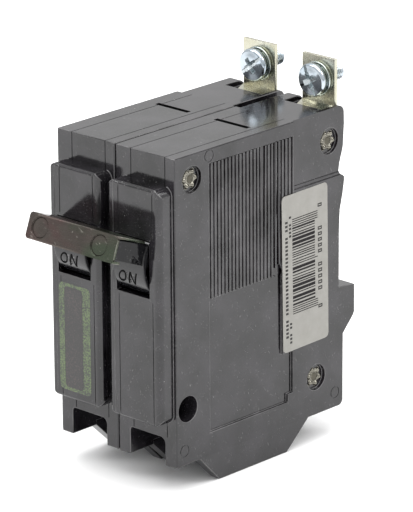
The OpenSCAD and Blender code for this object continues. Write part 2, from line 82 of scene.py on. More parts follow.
# ---- places, in case millimetres ----
# X runs from a pole's left face, Y from its front face and Z from its bottom wall.
CASE_TOP = 100.5
FOOT_REAR = 83.0
POLE_W = 25.1
ESC_FRONT = -5.8                                        # face of the escutcheon, the raised front panel
PIVOT = Vector((0, 4.5, 66.0))                          # the handle's axis
LINE_SCREW = Vector((POLE_W / 2 + 3, 76.0, 108.0))      # where the line screw's axis meets the strap
CASE_ORIGIN_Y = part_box("left_cover")[1].y - FOOT_REAR * MM
CASE_ORIGIN_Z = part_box("left_cover")[1].z - CASE_TOP * MM
POLE_X = {side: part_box(side + "cover")[0].x for side in SIDES}


def to_row(side, p):
    """A point in a pole's case millimetres, in the row frame in metres."""
    return Vector((POLE_X[side] + p[0] * MM, CASE_ORIGIN_Y + p[1] * MM, CASE_ORIGIN_Z + p[2] * MM))


def in_case(side, point):
    """A point's place in a pole's case millimetres."""
    return Vector((point.x - POLE_X[side], point.y - CASE_ORIGIN_Y, point.z - CASE_ORIGIN_Z)) / MM


# ---- camera: a long lens from about 1.3 m ----
AZIMUTH, ELEVATION, ROLL = math.radians(43.36), math.radians(18.68), math.radians(-0.37)
DISTANCE = 1.318
LENS_MM, SENSOR_MM = 294.0, 36
AIM_FROM_CENTRE = Vector((3.7, 4.1, 2.9)) * MM
centre = (cad_box[0] + cad_box[1]) / 2
aim = centre + AIM_FROM_CENTRE
back = Vector((math.sin(AZIMUTH) * math.cos(ELEVATION), -math.cos(AZIMUTH) * math.cos(ELEVATION),
               math.sin(ELEVATION)))
camera = bpy.data.objects.new("camera", bpy.data.cameras.new("camera"))
bpy.context.scene.collection.objects.link(camera)
camera.data.lens = LENS_MM
camera.data.sensor_width = SENSOR_MM
camera.data.clip_start, camera.data.clip_end = 0.01, 50
camera.matrix_world = (Matrix.Translation(aim + back * DISTANCE)
                       @ (-back).to_track_quat("-Z", "Y").to_matrix().to_4x4()
                       @ Matrix.Rotation(ROLL, 4, "Z"))
bpy.context.scene.camera = camera


# ---- material building ----
MIX_A, MIX_B, MIX_RESULT = 6, 7, 2      # the colour sockets of a Mix node
GLOSS_SPREAD = 0.02                     # how far a plastic's roughness varies each way


class Material:
    """A Principled material with short calls to add and link nodes."""

    def __init__(self, name, **inputs):
        self.mat = bpy.data.materials.new(name)
        self.mat.use_nodes = True
        self.tree = self.mat.node_tree
        self.shader = self.tree.nodes["Principled BSDF"]
        self.coords = self.add("ShaderNodeTexCoord").outputs["Object"]
        self.set(**inputs)

    def add(self, kind, inputs=None, **props):
        node = self.tree.nodes.new(kind)
        for key, value in props.items():
            setattr(node, key, value)
        for key, value in (inputs or {}).items():
            self.feed(node.inputs[key], value)
        return node

    def feed(self, socket, value):
        if isinstance(value, bpy.types.NodeSocket):
            self.tree.links.new(value, socket)
        else:
            socket.default_value = value

    def set(self, **inputs):
        for key, value in inputs.items():
            if isinstance(value, tuple):
                value = (*value, 1.0)
            self.feed(self.shader.inputs[key.replace("_", " ")], value)

    def stretched(self, scale, turn=(0.0, 0.0, 0.0)):
        """Object coordinates turned, then packed closer along each axis by scale."""
        return self.add("ShaderNodeMapping", {
            "Vector": self.coords, "Rotation": turn, "Scale": tuple(1 / s for s in scale)},
            vector_type="TEXTURE").outputs["Vector"]

    def noise(self, scale, detail=3.0, roughness=0.55, vector=None, distortion=0.0):
        return self.add("ShaderNodeTexNoise", {
            "Vector": vector or self.coords, "Scale": scale, "Detail": detail, "Roughness": roughness,
            "Distortion": distortion}).outputs["Fac"]

    def math(self, operation, a, b=0.0):
        node = self.add("ShaderNodeMath", operation=operation)
        self.feed(node.inputs[0], a)
        self.feed(node.inputs[1], b)
        return node.outputs[0]

    def ramp(self, fac, low, high, out_low=0.0, out_high=1.0):
        """fac between low and high, mapped to out_low..out_high and held there outside."""
        return self.add("ShaderNodeMapRange", {"Value": fac, "From Min": low, "From Max": high,
                                               "To Min": out_low, "To Max": out_high}).outputs["Result"]

    def mix(self, fac, a, b):
        """Colour a where fac is 0 and b where it is 1."""
        node = self.add("ShaderNodeMix", data_type="RGBA")
        self.feed(node.inputs["Factor"], fac)
        for index, value in ((MIX_A, a), (MIX_B, b)):
            self.feed(node.inputs[index], (*value, 1.0) if isinstance(value, tuple) else value)
        return node.outputs[MIX_RESULT]

    def bump(self, height, strength, distance, normal=None):
        inputs = {"Height": height, "Strength": strength, "Distance": distance}
        if normal:
            inputs["Normal"] = normal
        return self.add("ShaderNodeBump", inputs).outputs["Normal"]

    def specks(self, scale, size, share):
        """Small scattered dots: 1 on a dot, 0 off it. size is a dot's radius as a share of a cell."""
        cell = self.add("ShaderNodeTexVoronoi", {"Vector": self.coords, "Scale": scale})
        dot = self.ramp(cell.outputs["Distance"], size, size * 0.5)
        chosen = self.math("LESS_THAN", self.add(
            "ShaderNodeSeparateColor", {"Color": cell.outputs["Color"]}).outputs["Red"], share)
        return self.math("MULTIPLY", dot, chosen)

    def scratches(self, scale, along, turn=(0.0, 0.0, 0.0), rare=0.76):
        """Short straight marks drawn out along one direction: 1 on a mark, 0 off it."""
        return self.ramp(self.noise(scale, 0.0, 0.4, self.stretched(along, turn)), rare, rare + 0.04)


def moulded_plastic(name, dark, light, rough, dust=0.5, ior=1.58):
    """Moulded plastic: cloudy gloss, faint flow lines, fine grain, dust specks and rub marks."""
    m = Material(name, IOR=ior)
    cloud = m.noise(75, 7.0, 0.68)
    flow_lines = m.noise(55, 3.0, 0.5, m.stretched((2.2, 0.5, 0.35)), 0.8)
    grain = m.noise(3800, 2.0)
    dots = m.specks(420, 0.06, 0.08 * dust)
    flecks = m.specks(1500, 0.11, 0.03 * dust)
    rubs = m.math("MAXIMUM", m.scratches(3200, (1.0, 0.06, 1.0), (0.5, 0.2, 0.9), 0.79),
                  m.scratches(3600, (1.0, 1.0, 0.05), (0.35, 0.25, 0.0), 0.79))
    marks = m.math("MAXIMUM", m.math("MAXIMUM", dots, flecks), m.math("MULTIPLY", rubs, 0.22 * dust))
    body = m.mix(m.ramp(cloud, 0.36, 0.66), dark, light)
    m.set(Base_Color=m.mix(marks, body, (0.34, 0.34, 0.33)))
    shade = m.math("ADD", m.ramp(cloud, 0.3, 0.75, rough - GLOSS_SPREAD, rough + GLOSS_SPREAD),
                   m.ramp(flow_lines, 0.35, 0.7, -GLOSS_SPREAD, GLOSS_SPREAD))
    m.set(Roughness=m.math("ADD", shade, m.math("MULTIPLY", marks, 0.4)))
    fine = m.bump(grain, 0.10, 0.00003)
    m.set(Normal=m.bump(flow_lines, 0.06, 0.0006, fine))
    return m.mat


def worked_metal(name, colour, tint, rough, along=(1.0, 1.0, 1.0), marks=0.5, grain_scale=900,
                 stain=(0.3, 0.3, 0.3), stain_share=0.2, relief=0.2):
    """Formed sheet or wire metal: drawn grain along one direction, tarnish clouds and small dings."""
    m = Material(name, Metallic=1.0)
    grain = m.noise(grain_scale, 3.0, 0.6, m.stretched(along))
    cloud = m.noise(160, 4.0, 0.6)
    lines = m.scratches(2600, (1.0, 0.1, 1.0), (0.3, 0.4, 0.7), 0.72)
    pits = m.specks(1300, 0.16, 0.05 * marks)
    body = m.mix(m.ramp(cloud, 0.35, 0.65), colour, tint)
    stained = m.mix(m.ramp(m.noise(95, 5.0, 0.65), 0.58, 0.72, 0.0, stain_share), body, stain)
    m.set(Base_Color=m.mix(m.math("MULTIPLY", pits, 0.7), stained, tuple(0.45 * c for c in colour)))
    m.set(Roughness=m.math("ADD", m.ramp(grain, 0.3, 0.7, rough * 0.75, rough * 1.3),
                           m.math("MULTIPLY", lines, 0.15 * marks)))
    fine = m.bump(grain, relief, 0.00003)
    m.set(Normal=m.bump(lines, relief * marks, 0.00004, fine))
    return m.mat


def bronzed_sheet(name):
    """Dark bronze-oxide steel with green and red temper clouds, scratches and pale nicks."""
    m = Material(name, Metallic=0.85)
    cloud = m.noise(62, 3.0, 0.5, distortion=0.6)
    hue = m.noise(48, 2.0, 0.5, m.stretched((1.0, 1.0, 1.6)))
    grain = m.noise(1500, 3.0, 0.6, m.stretched((0.12, 1.0, 1.0)))
    body = m.mix(m.ramp(cloud, 0.35, 0.65), (0.054, 0.046, 0.041), (0.082, 0.070, 0.062))
    green = m.mix(m.ramp(hue, 0.50, 0.60, 0.0, 0.8), body, (0.048, 0.064, 0.042))
    red = m.mix(m.ramp(hue, 0.46, 0.38, 0.0, 0.8), green, (0.084, 0.052, 0.050))
    lines = m.scratches(2400, (0.08, 1.0, 1.0), (0.0, 0.5, 0.0), 0.76)
    nicks = m.specks(520, 0.09, 0.09)
    worn = m.math("MAXIMUM", m.math("MULTIPLY", lines, 0.25), nicks)
    m.set(Base_Color=m.mix(worn, red, (0.40, 0.38, 0.34)))
    m.set(Roughness=m.math("ADD", m.ramp(grain, 0.3, 0.7, 0.20, 0.34), m.math("MULTIPLY", worn, 0.2)))
    m.set(Normal=m.bump(lines, 0.3, 0.00004, m.bump(grain, 0.2, 0.00003)))
    return m.mat


def printed_paper(name, colour, fibre, rough, ior=1.46):
    """Label stock or pressed fibre: faint mottling and fibres, a few dark grains."""
    m = Material(name, IOR=ior)
    mottle = m.noise(240, 5.0, 0.65)
    fibres = m.noise(1400, 2.0, 0.5, m.stretched((1.0, 1.0, 0.22)))
    grains = m.specks(560, 0.07, 0.08)
    body = m.mix(m.ramp(mottle, 0.35, 0.65), colour, fibre)
    m.set(Base_Color=m.mix(m.math("MULTIPLY", grains, 0.6), body, tuple(0.4 * c for c in colour)))
    m.set(Roughness=m.ramp(mottle, 0.3, 0.7, rough - 0.06, rough + 0.06))
    m.set(Normal=m.bump(fibres, 0.15, 0.00003))
    return m.mat


def worn_print(name, ink, under, cover):
    """Speckled screen print that lets the plastic under it show through."""
    m = Material(name, IOR=1.55)
    grit = m.noise(1900, 2.0, 0.7)
    patches = m.noise(150, 3.0, 0.6)
    shown = m.ramp(m.math("ADD", grit, m.ramp(patches, 0.3, 0.7, -0.06, 0.06)), 0.62 - cover, 0.72 - cover)
    m.set(Base_Color=m.mix(shown, under, ink))
    m.set(Roughness=m.ramp(grit, 0.3, 0.7, 0.32, 0.48))
    m.set(Normal=m.bump(grit, 0.25, 0.00003))
    return m.mat


CASE_BLACK, CASE_GREY = (0.0006, 0.0004, 0.0008), (0.0185, 0.0168, 0.0200)
phenolic = moulded_plastic("case_phenolic", CASE_BLACK, CASE_GREY, 0.15, dust=1.1, ior=1.53)
# lighter plastic on the case's rounded edges: rub wear together with painted edge highlights
edge_wear_and_highlight = moulded_plastic("case_worn_and_highlit_edge", (0.014, 0.013, 0.014), (0.100, 0.097, 0.100), 0.30,
                            dust=1.5, ior=1.565)
handle_plastic = moulded_plastic("handle_plastic", (0.005, 0.005, 0.006), (0.008, 0.008, 0.009), 0.17,
                                 dust=0.7, ior=1.46)
grip_plastic = moulded_plastic("grip_plastic", (0.003, 0.003, 0.0035), (0.006, 0.006, 0.007), 0.10,
                               dust=0.9, ior=1.27)
# near-black plastic on the vent slit's walls and the floors of the sunk letters: painted shade in those
# recesses
painted_recess_shade = moulded_plastic("painted_recess_shade", (0.002, 0.002, 0.002), (0.004, 0.004, 0.004), 0.6,
                               dust=0.2, ior=1.15)
bar_plastic = moulded_plastic("trip_bar_plastic", (0.24, 0.045, 0.030), (0.30, 0.065, 0.045), 0.4, dust=0.4)
bronze = bronzed_sheet("bronzed_steel")
bronze_edge = worked_metal("worn_bronze_edge", (0.24, 0.235, 0.21), (0.17, 0.165, 0.145), 0.3,
                           (0.1, 1.0, 1.0), stain=(0.07, 0.065, 0.055), stain_share=0.7)
# near-black plastic for the rings round the tie's embosses: painted shade in their hollows
dimple_shade = moulded_plastic("dimple_painted_shade", (0.006, 0.005, 0.004), (0.012, 0.010, 0.008), 0.7, ior=1.1)
plated = worked_metal("plated_copper", (0.475, 0.475, 0.405), (0.425, 0.41, 0.315), 0.26, (1.0, 1.0, 0.15),
                      grain_scale=2600, stain=(0.26, 0.22, 0.14), stain_share=0.35, relief=0.05)
plated_edge = worked_metal("plated_edge", (0.55, 0.54, 0.47), (0.48, 0.46, 0.38), 0.25, grain_scale=2600,
                           relief=0.03)
zinc = worked_metal("zinc_steel", (0.46, 0.505, 0.545), (0.38, 0.44, 0.49), 0.10,
                    stain=(0.18, 0.24, 0.28), stain_share=0.6, relief=0.06)
# zinc copy for the screw recess faces, with lighter patches and darker stains than the head: painted glints
# and painted shade inside the recess
recess_zinc_painted_light = worked_metal("zinc_recess_painted_light", (0.62, 0.67, 0.69), (0.34, 0.38, 0.40), 0.24,
                           stain=(0.10, 0.12, 0.12), stain_share=0.5, relief=0.5)
washer_zinc = worked_metal("washer_zinc", (0.40, 0.46, 0.49), (0.38, 0.41, 0.36), 0.2,
                           stain=(0.22, 0.25, 0.21), stain_share=0.6)
rivet_metal = worked_metal("rivet_steel", (0.225, 0.215, 0.182), (0.15, 0.142, 0.12), 0.24, marks=1.0,
                           stain=(0.13, 0.12, 0.09), stain_share=0.7)
# a darker copy of the rivet steel for the crimp's recessed middle: painted shade
rivet_centre_shade = worked_metal("rivet_centre_shade", (0.060, 0.056, 0.043), (0.095, 0.088, 0.070), 0.3, marks=1.0,
                          stain=(0.03, 0.03, 0.025), stain_share=0.7)
plain_steel = worked_metal("plain_steel", (0.46, 0.46, 0.46), (0.38, 0.38, 0.39), 0.33, (1.0, 0.2, 1.0))
spring_steel = worked_metal("spring_steel", (0.36, 0.36, 0.38), (0.30, 0.30, 0.32), 0.28)
silver = worked_metal("silver_alloy", (0.80, 0.79, 0.75), (0.68, 0.66, 0.62), 0.38, marks=1.0)
copper = worked_metal("copper", (0.72, 0.42, 0.28), (0.60, 0.33, 0.21), 0.3, (1.0, 0.2, 0.2),
                      stain=(0.30, 0.16, 0.10), stain_share=0.6)
bimetal = worked_metal("bimetal_strip", (0.62, 0.54, 0.38), (0.54, 0.47, 0.34), 0.28, (1.0, 1.0, 0.12))
fibre = printed_paper("vulcanised_fibre", (0.56, 0.50, 0.42), (0.48, 0.43, 0.36), 0.7)
label_paper = printed_paper("label_paper", (0.245, 0.239, 0.220), (0.222, 0.216, 0.198), 0.5)
label_ink = printed_paper("label_ink", (0.006, 0.005, 0.006), (0.012, 0.010, 0.011), 0.5, 1.2)
faded_ink = printed_paper("faded_ink", (0.014, 0.013, 0.013), (0.026, 0.024, 0.023), 0.5, 1.25)
green_print = worn_print("green_print", (0.085, 0.125, 0.045), (0.020, 0.024, 0.018), 0.16)
red_haze = worn_print("red_haze", (0.045, 0.034, 0.032), (0.012, 0.011, 0.011), 0.08)

# What the record's slots look like on the pieces inside the case.
SLOT_MATERIAL = {
    "zinc_steel": zinc, "plain_steel": plain_steel, "spring_steel": spring_steel, "silver_alloy": silver,
    "copper": copper, "bimetal_strip": bimetal, "fibre": fibre, "trip_bar_plastic": bar_plastic}
NODE_SLOT = {s["node"]: s["material_slot"] for s in frame["record"]["subparts"]}
NODE_BODY = {n: body for body, nodes in frame["record"]["behaviour"]["bodies"].items() for n in nodes}


# ---- mesh building ----
SHARP_OVER = math.radians(28)       # edges sharper than this are rounded
SMOOTH_BELOW = math.radians(50)     # edges sharper than this keep a crisp shade
CREASE_OVER = math.radians(3)       # edges between wide flats are crisp from here on
FACET_W = 1.2 * MM                  # a face narrower than this may be a facet of a curve
ROOM = 2.3                          # edges beside a rounded one are at least this many widths long
SHORTEST = 0.01 * MM                # edges shorter than this are never rounded
FLAT_WITHIN = math.radians(1)       # faces of the CAD mesh that meet at less than this are one flat
CAD_WELD, WELD = 2e-6, 1e-7         # points closer than this are one, in the CAD mesh and after a change


def has_room(edge, width):
    """True if rounding the edge by width doesn't run past the edges that leave its ends."""
    along = (edge.verts[1].co - edge.verts[0].co).normalized()
    for vert in edge.verts:
        for other in vert.link_edges:
            if other is edge:
                continue
            way = (other.other_vert(vert).co - vert.co).normalized()
            if abs(way.dot(along)) < 0.8 and other.calc_length() < ROOM * width:
                return False
    return True


def soften(bm, width, segments=2, only=None, material=-1):
    """Rounds the sharp edges that have room, or those of them that only() picks.

    The rounding takes material, but a face too wide to be rounding goes back to material 0.
    """
    picked = [e for e in bm.edges
              if len(e.link_faces) == 2 and e.calc_face_angle(0) > SHARP_OVER
              and e.calc_length() > SHORTEST and has_room(e, width) and (only is None or only(e))]
    if picked:
        bmesh.ops.bevel(bm, geom=picked, offset=width, offset_type="OFFSET", segments=segments,
                        profile=0.5, affect="EDGES", clamp_overlap=False, material=material)
        bmesh.ops.remove_doubles(bm, verts=bm.verts, dist=WELD)
        for face in bm.faces:
            if face.material_index == material > 0 and is_wider(face, width):
                face.material_index = 0


def is_wider(face, width):
    """True for a face whose area is more than its longest edge times width."""
    return face.calc_area() > width * max(e.calc_length() for e in face.edges)


def add_piece(name, bm, body, materials, stands_for=(), crisp_flats=False):
    """Turns bm into an object that rides on a CAD body and stands for the CAD nodes named.

    crisp_flats keeps the shading of wide flats apart from the rounding along their edges.
    """
    bmesh.ops.recalc_face_normals(bm, faces=bm.faces)
    for face in bm.faces:
        face.smooth = True
    bm.edges.index_update()
    enough = any if crisp_flats else all
    creases = [e.index for e in bm.edges if e.calc_face_angle(0) > CREASE_OVER
               and enough(is_wider(f, FACET_W) for f in e.link_faces)]
    mesh = bpy.data.meshes.new(name)
    bm.to_mesh(mesh)
    bm.free()
    for material in materials:
        mesh.materials.append(material)
    mesh.set_sharp_from_angle(angle=SMOOTH_BELOW)
    for index in creases:
        mesh.edges[index].use_edge_sharp = True
    piece = bpy.data.objects.new(name, mesh)
    bpy.context.scene.collection.objects.link(piece)
    weighted = piece.modifiers.new("weighted_normals", "WEIGHTED_NORMAL")
    weighted.keep_sharp = True
    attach(piece, body)
    if stands_for:
        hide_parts(*stands_for)


def node_bmesh(node):
    """The CAD node's mesh with its flat faces whole again, ready for rounding."""
    bm = bmesh.new()
    bm.from_mesh(frame["nodes"][node].data)
    bmesh.ops.remove_doubles(bm, verts=bm.verts, dist=CAD_WELD)
    bmesh.ops.dissolve_limit(bm, angle_limit=FLAT_WITHIN, verts=bm.verts, edges=bm.edges)
    for face in bm.faces:
        face.material_index = 0
    return bm


def refined(node, width):
    """Puts a CAD node's shape, with rounded edges, in the place of the node."""
    bm = node_bmesh(node)
    soften(bm, width)
    add_piece(node + "_finished", bm, NODE_BODY[node], [SLOT_MATERIAL[NODE_SLOT[node]]],
              [node])


def bridge(bm, a, b):
    """Makes the faces between two rings of vertices. A ring of one vertex gives a fan."""
    sides = max(len(a), len(b))
    made = []
    for i in range(sides):
        j = (i + 1) % sides
        corners = (a[i % len(a)], a[j % len(a)], b[j % len(b)], b[i % len(b)])
        made.append(bm.faces.new(tuple(dict.fromkeys(corners))))
    return made


def bridge_all(bm, rings, close=False):
    """Joins each ring to the next, and the last to the first if close is set."""
    for a, b in zip(rings, rings[1:] + rings[:1] if close else rings[1:]):
        bridge(bm, a, b)


def prism(bm, low, high):
    """A closed solid between two rings of vertices."""
    bridge(bm, low, high)
    bm.faces.new(low[::-1])
    bm.faces.new(high)


def turned(bm, profile, place, sides, close=False):
    """Turns (along, r) points about an axis, and returns the rings of vertices.

    place(along, r, angle) gives a point of the surface.
    """
    rings = [[bm.verts.new(place(along, r, 2 * math.pi * i / sides)) for i in range(sides if r > 0 else 1)]
             for along, r in profile]
    bridge_all(bm, rings, close)
    return rings


def about_y(at):
    """The place() of an axis along Y through at."""
    return lambda y, r, angle: (at.x + r * math.cos(angle), y, at.z + r * math.sin(angle))


def about_x(at_y, at_z):
    """The place() of an axis along X through at_y and at_z."""
    return lambda x, r, angle: (x, at_y + r * math.cos(angle), at_z + r * math.sin(angle))


def block(bm, low, high):
    """Adds a box and returns its vertices."""
    made = bmesh.ops.create_cube(bm, size=1.0)["verts"]
    for v in made:
        v.co = Vector([low[k] + (v.co[k] + 0.5) * (high[k] - low[k]) for k in range(3)])
    return made


def shift(bm, side):
    """Moves a mesh drawn in a pole's case millimetres into the row frame."""
    for v in bm.verts:
        v.co = to_row(side, v.co)
    return bm


def carve(bm, cutter, material_index):
    """Cuts the closed mesh cutter out of bm. The cut faces take material_index."""
    target, tool = bpy.data.meshes.new("carve_target"), bpy.data.meshes.new("carve_tool")
    for face in cutter.faces:
        face.material_index = material_index
    bm.to_mesh(target)
    cutter.to_mesh(tool)
    for mesh in (target, tool):
        for stand_in in [phenolic] + [painted_recess_shade] * material_index:
            mesh.materials.append(stand_in)
    a, b = (bpy.data.objects.new(mesh.name, mesh) for mesh in (target, tool))
    for o in (a, b):
        bpy.context.scene.collection.objects.link(o)
    cut = a.modifiers.new("cut", "BOOLEAN")
    cut.object, cut.operation, cut.solver = b, "DIFFERENCE", "EXACT"
    result = bpy.data.meshes.new_from_object(a.evaluated_get(bpy.context.evaluated_depsgraph_get()))
    bm.clear()
    bm.from_mesh(result)
    cutter.free()
    for o in (a, b):
        bpy.data.objects.remove(o)
    for mesh in (target, tool, result):
        bpy.data.meshes.remove(mesh)
    bmesh.ops.remove_doubles(bm, verts=bm.verts, dist=WELD)


# ---- case mouldings ----
ON_PLACE = 0.02                         # a point this close to a place is on it
CORNER_FROM, CORNER_R = 6, 0.5          # the long outer corners: their least length, and their radius
LABEL_CORNER_R = 0.3                    # those on the side with the label
EDGE_R = 0.22                           # the other edges
SLIT_Y, SLIT_ABOVE_Z = 39.45, 90        # the vent slit is in the top wall, above this height
SLIT_WIDER = 0.3                        # how far each lip moves out
POCKET_X, POCKET_R = 5.0, 1.1           # the load pocket's outer wall, and its mouth's corner
POCKET_CORNER_Z = (8, 12)
LAND_CORNER = (48.9, 51.3)              # y and z of the corner of the land under the label


def outer_corner(side, side_x, edge):
    """True on the long corners where a pole's flat side meets its top or its front wall."""
    ends = [in_case(side, v.co) for v in edge.verts]

    def all_at(axis, place):
        return all(abs(end[axis] - place) < ON_PLACE for end in ends)

    is_long = edge.calc_length() > CORNER_FROM * MM
    return is_long and all_at(0, side_x) and (all_at(2, CASE_TOP) or all_at(1, 0.0))


def pocket_corner(side, edge):
    """True on the upper outer corner of the load pocket's mouth."""
    low, high = POCKET_CORNER_Z
    ends = [in_case(side, v.co) for v in edge.verts]
    return all(abs(end.x - POCKET_X) < ON_PLACE and low < end.z < high for end in ends)


def near_slit(at, reach):
    """True within reach of the vent slit's middle, for a place in case millimetres."""
    return abs(at.y - SLIT_Y) < reach and at.z > SLIT_ABOVE_Z


def may_round(edge):
    """False at the vent slit, whose lips stay crisp, and at the corner of the land under the label.

    Only Y and Z count, so either pole's place will do.
    """
    at = in_case("left_", (edge.verts[0].co + edge.verts[1].co) / 2)
    at_land = abs(at.y - LAND_CORNER[0]) < 2 and abs(at.z - LAND_CORNER[1]) < 2
    return not (near_slit(at, 1.5) or at_land)


def open_slit(side, bm):
    """Widens the vent slit in the top wall and paints shade on its walls."""
    for face in bm.faces:
        if abs(face.normal.y) > 0.9 and near_slit(in_case(side, face.calc_center_median()), 0.8):
            face.material_index = 2
    for v in bm.verts:
        at = in_case(side, v.co)
        if near_slit(at, 0.7):
            v.co.y += math.copysign(SLIT_WIDER, at.y - SLIT_Y) * MM


for side in SIDES:
    base_corner_r = LABEL_CORNER_R if side == "right_" else CORNER_R
    for part, side_x, corner_r in (("cover", 0.0, CORNER_R), ("base", POLE_W, base_corner_r)):
        shell = node_bmesh(side + part)
        if part == "base":
            open_slit(side, shell)
        soften(shell, corner_r * MM, 3, only=lambda e: outer_corner(side, side_x, e))
        if part == "base":
            soften(shell, POCKET_R * MM, 5, only=lambda e: pocket_corner(side, e))
        # the small roundings take the lighter edge plastic: wear and a painted highlight line
        soften(shell, EDGE_R * MM, 3, only=may_round, material=1)
        add_piece(side + part + "_finished", shell, "root", [phenolic, edge_wear_and_highlight, painted_recess_shade],
                  [side + part], crisp_flats=True)


# ---- handles, with a slanted ON sunk into the lower skirt ----
HANDLE_TILT = math.radians(20.7)            # above level, at ON
HANDLE_OUT = Vector((0, -math.cos(HANDLE_TILT), math.sin(HANDLE_TILT)))
HANDLE_UP = Vector((0, math.sin(HANDLE_TILT), math.cos(HANDLE_TILT)))
SKIRT_R = 12.5
GRIP_FROM = 13                              # the grip starts this far out from the pivot
SHARP_FROM = 23                             # from here on the edges are inside the tie and stay sharp
GRIP_GAP = 0.1                              # the share of its height by which the grip is thinned
HANDLE_EDGE_R = 0.35
LETTER_LOW, LETTER_TOP = -31.0, -9.0        # degrees above level, round the pivot
LETTER_H = 4.6                              # about the height between them, which sizes the O's strokes
LETTER_DEPTH = 0.32
SLANT = 1.9                                 # how far a letter's top lies to the right of its foot
STROKE = 0.62
STAND_OUT = 0.4                             # how far the cutters reach out of the skirt
O_MID, O_HALF, O_SIDES = 9.65, 1.65, 40
N_LEFT, N_RIGHT = 12.55, 15.15
BAR_STEPS = 8


def on_skirt(x, up):
    """Points below and above the skirt's surface; up runs from 0 at the letters' foot to 1 at their top."""
    angle = math.radians(LETTER_LOW + up * (LETTER_TOP - LETTER_LOW))
    way = Vector((0, -math.cos(angle), math.sin(angle)))
    at = PIVOT + Vector((x + SLANT * (up - 0.5), 0, 0))
    return at + way * (SKIRT_R - LETTER_DEPTH), at + way * (SKIRT_R + STAND_OUT)


def o_cutter():
    """A ring through the skirt's surface."""
    bm = bmesh.new()
    loops = []
    for half, rise in ((O_HALF, 0.5), (O_HALF - STROKE, 0.5 - STROKE / LETTER_H)):
        turns = [2 * math.pi * i / O_SIDES for i in range(O_SIDES)]
        loops.append([on_skirt(O_MID + half * math.cos(turn), 0.5 + rise * math.sin(turn)) for turn in turns])
    outside, inside = loops
    rings = [[bm.verts.new(pair[level]) for pair in loop]
             for loop, level in ((outside, 0), (outside, 1), (inside, 1), (inside, 0))]
    bridge_all(bm, rings, close=True)
    return bm


def bar_cutter(start, end):
    """A straight stroke through the skirt's surface between two (x, up) points."""
    bm = bmesh.new()
    left = [(start[0] + (end[0] - start[0]) * i / BAR_STEPS - STROKE / 2,
             start[1] + (end[1] - start[1]) * i / BAR_STEPS) for i in range(BAR_STEPS + 1)]
    outline = left + [(x + STROKE, up) for x, up in reversed(left)]
    inner, outer = ([bm.verts.new(on_skirt(*p)[level]) for p in outline] for level in (0, 1))
    bridge(bm, inner, outer)
    n = len(outline)
    for k in range(1, n // 2):
        bm.faces.new((inner[k - 1], inner[k], inner[n - k - 1], inner[n - k]))
        bm.faces.new((outer[k - 1], outer[n - k], outer[n - k - 1], outer[k]))
    return bm


def letter_cutters():
    """One cutter for O, then three for N."""
    return [o_cutter(),
            bar_cutter((N_LEFT, 0), (N_LEFT, 1)),
            bar_cutter((N_LEFT + 0.05, 1), (N_RIGHT - 0.05, 0)),
            bar_cutter((N_RIGHT, 0), (N_RIGHT, 1))]


def along_handle(side, point):
    """How far a point lies out from the pivot along the handle, and how far above its middle, in mm."""
    arm = (point - to_row(side, PIVOT)) / MM
    return arm.dot(HANDLE_OUT), arm.dot(HANDLE_UP)


def thin_grip(bm, side):
    """Draws the grip's top and bottom in from the tie, so that a gap shows round it."""
    for v in bm.verts:
        out, rise = along_handle(side, v.co)
        if out > GRIP_FROM:
            v.co -= HANDLE_UP * rise * GRIP_GAP * MM


for side in SIDES:
    handle = node_bmesh(side + "handle")
    thin_grip(handle, side)
    for face in handle.faces:
        if along_handle(side, face.calc_center_median())[0] > GRIP_FROM:
            face.material_index = 1
    soften(handle, HANDLE_EDGE_R * MM, 3,
           only=lambda e: along_handle(side, (e.verts[0].co + e.verts[1].co) / 2)[0] < SHARP_FROM)
    # the letters' cut faces take material 2, the near-black painted shade
    for cutter in letter_cutters():
        bmesh.ops.recalc_face_normals(cutter, faces=cutter.faces)
        carve(handle, shift(cutter, side), 2)
    add_piece(side + "handle_finished", handle, "handle",
              [handle_plastic, grip_plastic, painted_recess_shade], [side + "handle"])


# ---- handle tie: folded edges rounded, worn bright, with painted shade round its two embosses ----
FOLD_R, DIMPLE_FOOT_R, DIMPLE_RIM_R, TIE_EDGE_R = 0.42, 0.14, 0.10, 0.12
FOLD_FROM = 8                   # an edge this long across the poles is a fold
CHORD_UNDER = 0.9               # an edge this short on a round is one of its chords
WALL_UNDER = 0.6 * MM ** 2      # the area of a facet of an emboss's wall stays under this
# the width of the painted shade ring round each emboss's floor
SHADE_RING_W = 0.32


def is_long_fold(edge):
    return abs(edge.verts[1].co.x - edge.verts[0].co.x) > FOLD_FROM * MM


def round_dimple(edge):
    """True on the rim and foot of a round emboss, whose edges are short chords."""
    return edge.calc_length() < CHORD_UNDER * MM and all(len(v.link_edges) == 3 for v in edge.verts)


def in_dimple_wall(face):
    """True on the short round wall of an emboss's hollow."""
    return abs(face.normal.dot(HANDLE_OUT)) < 0.1 and face.calc_area() < WALL_UNDER


def is_dimple_floor(face):
    """True on a round face of an emboss's size."""
    middle = sum((v.co for v in face.verts), Vector()) / len(face.verts)
    reach = [(v.co - middle).length / MM for v in face.verts]
    return len(face.verts) > 20 and max(reach) < 1.05 * min(reach) and 2 < max(reach) < 4


tie = node_bmesh("handle_tie")
soften(tie, FOLD_R * MM, 3, only=is_long_fold)
soften(tie, DIMPLE_FOOT_R * MM, only=lambda e: round_dimple(e) and not e.is_convex)
soften(tie, DIMPLE_RIM_R * MM, only=lambda e: round_dimple(e) and e.is_convex)
soften(tie, TIE_EDGE_R * MM, material=1)
# a ring round each emboss's floor and its wall take the near-black plastic: painted shade in the hollow
floors = [f for f in tie.faces if is_dimple_floor(f)]
rims = bmesh.ops.inset_individual(tie, faces=floors, thickness=SHADE_RING_W * MM, use_even_offset=True)["faces"]
for face in tie.faces:
    if face.material_index == 0 and (face in rims or in_dimple_wall(face)):
        face.material_index = 2
add_piece("handle_tie_finished", tie, "handle", [bronze, bronze_edge, dimple_shade], ["handle_tie"])


